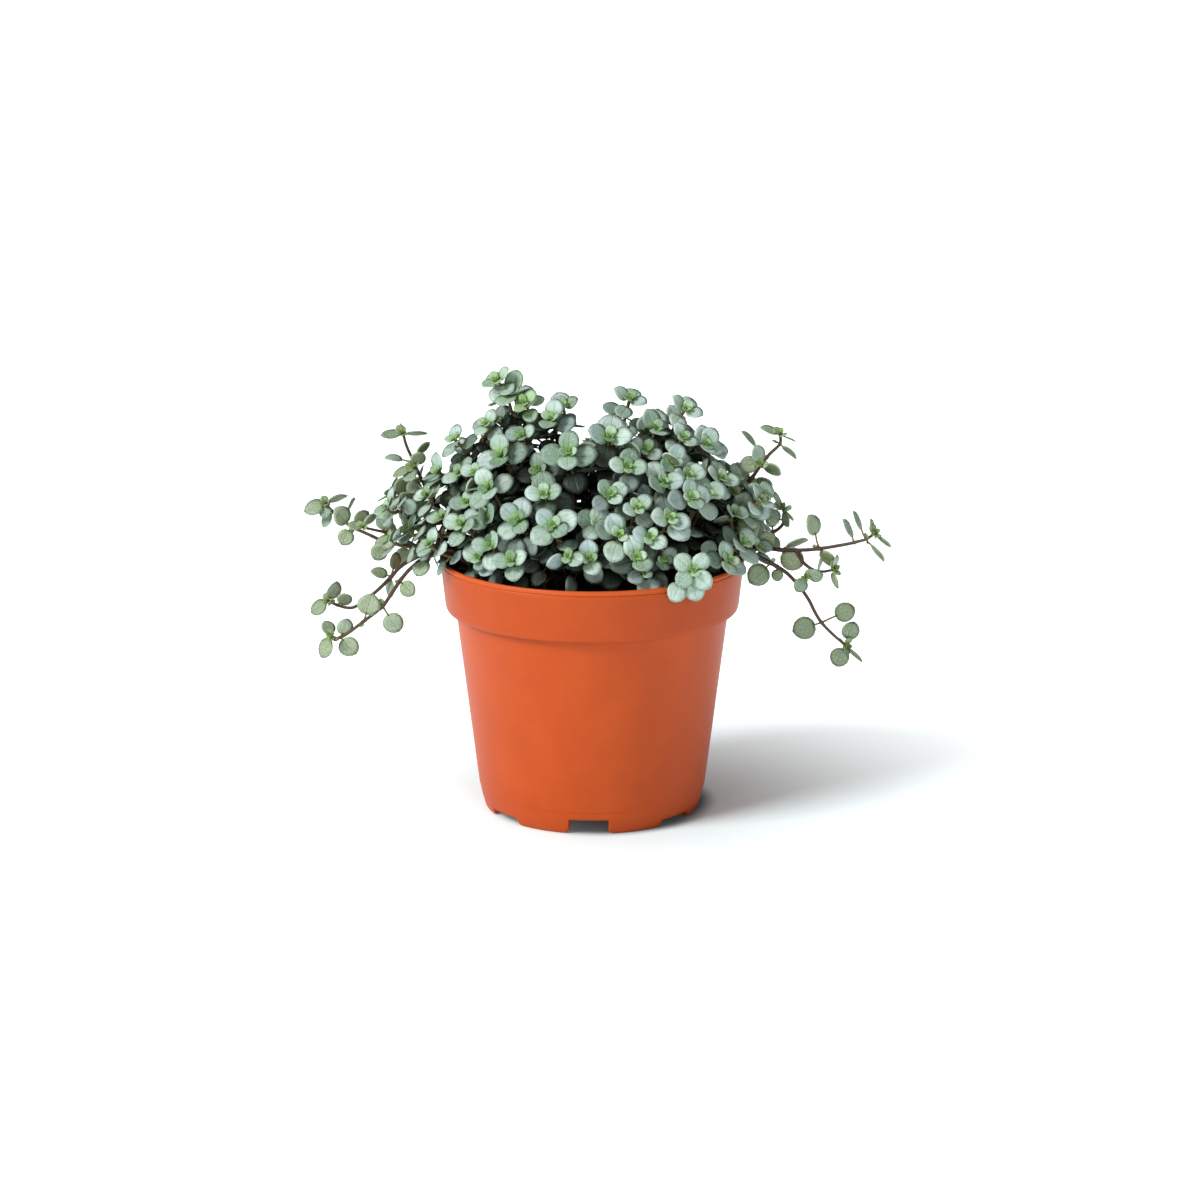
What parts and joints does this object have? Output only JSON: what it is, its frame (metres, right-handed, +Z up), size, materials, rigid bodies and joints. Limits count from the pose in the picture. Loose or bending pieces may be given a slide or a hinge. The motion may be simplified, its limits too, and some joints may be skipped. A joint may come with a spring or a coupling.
{
  "type": "potted pilea plant",
  "caption": "Small silver-leaved pilea with wiry trailing stems, growing in soil in a round terracotta-orange nursery pot that stands on its own feet.",
  "frame": {"origin": "on the floor under the pot, on the pot's axis", "axes": "+Z up along the pot's axis; +X towards the side where the longest right-hand stem arches out, as seen from the front; -Y is the side seen first"},
  "size_m": [0.2015, 0.105, 0.1538],
  "materials": {
    "pot": "satin moulded plastic, terracotta orange",
    "soil": "moist dark potting mix",
    "foliage": "silver grey-green leaves on dark red-brown stems"
  },
  "bodies": {
    "root": {"pot": "pot", "soil": "soil", "leafy_stem_01": "foliage", "leafy_stem_02": "foliage", "leafy_stem_03": "foliage", "leafy_stem_04": "foliage", "leafy_stem_05": "foliage", "leafy_stem_06": "foliage", "leafy_stem_07": "foliage", "leafy_stem_08": "foliage", "leafy_stem_09": "foliage", "leafy_stem_10": "foliage", "leafy_stem_11": "foliage", "leafy_stem_12": "foliage", "leafy_stem_13": "foliage", "leafy_stem_14": "foliage", "leafy_stem_15": "foliage", "leafy_stem_16": "foliage", "leafy_stem_17": "foliage", "leafy_stem_18": "foliage", "leafy_stem_19": "foliage", "leafy_stem_20": "foliage", "leafy_stem_21": "foliage", "leafy_stem_22": "foliage", "leafy_stem_23": "foliage", "leafy_stem_24": "foliage", "leafy_stem_25": "foliage", "leafy_stem_26": "foliage", "leafy_stem_27": "foliage", "leafy_stem_28": "foliage", "leafy_stem_29": "foliage", "leafy_stem_30": "foliage", "leafy_stem_31": "foliage", "leafy_stem_32": "foliage", "leafy_stem_33": "foliage", "leafy_stem_34": "foliage", "leafy_stem_35": "foliage", "leafy_stem_36": "foliage", "leafy_stem_37": "foliage", "leafy_stem_38": "foliage", "leafy_stem_39": "foliage", "leafy_stem_40": "foliage", "leafy_stem_41": "foliage", "leafy_stem_42": "foliage", "leafy_stem_43": "foliage", "leafy_stem_44": "foliage", "leafy_stem_45": "foliage", "leafy_stem_46": "foliage", "leafy_stem_47": "foliage", "leafy_stem_48": "foliage", "leafy_stem_49": "foliage"}
  },
  "joints": []
}
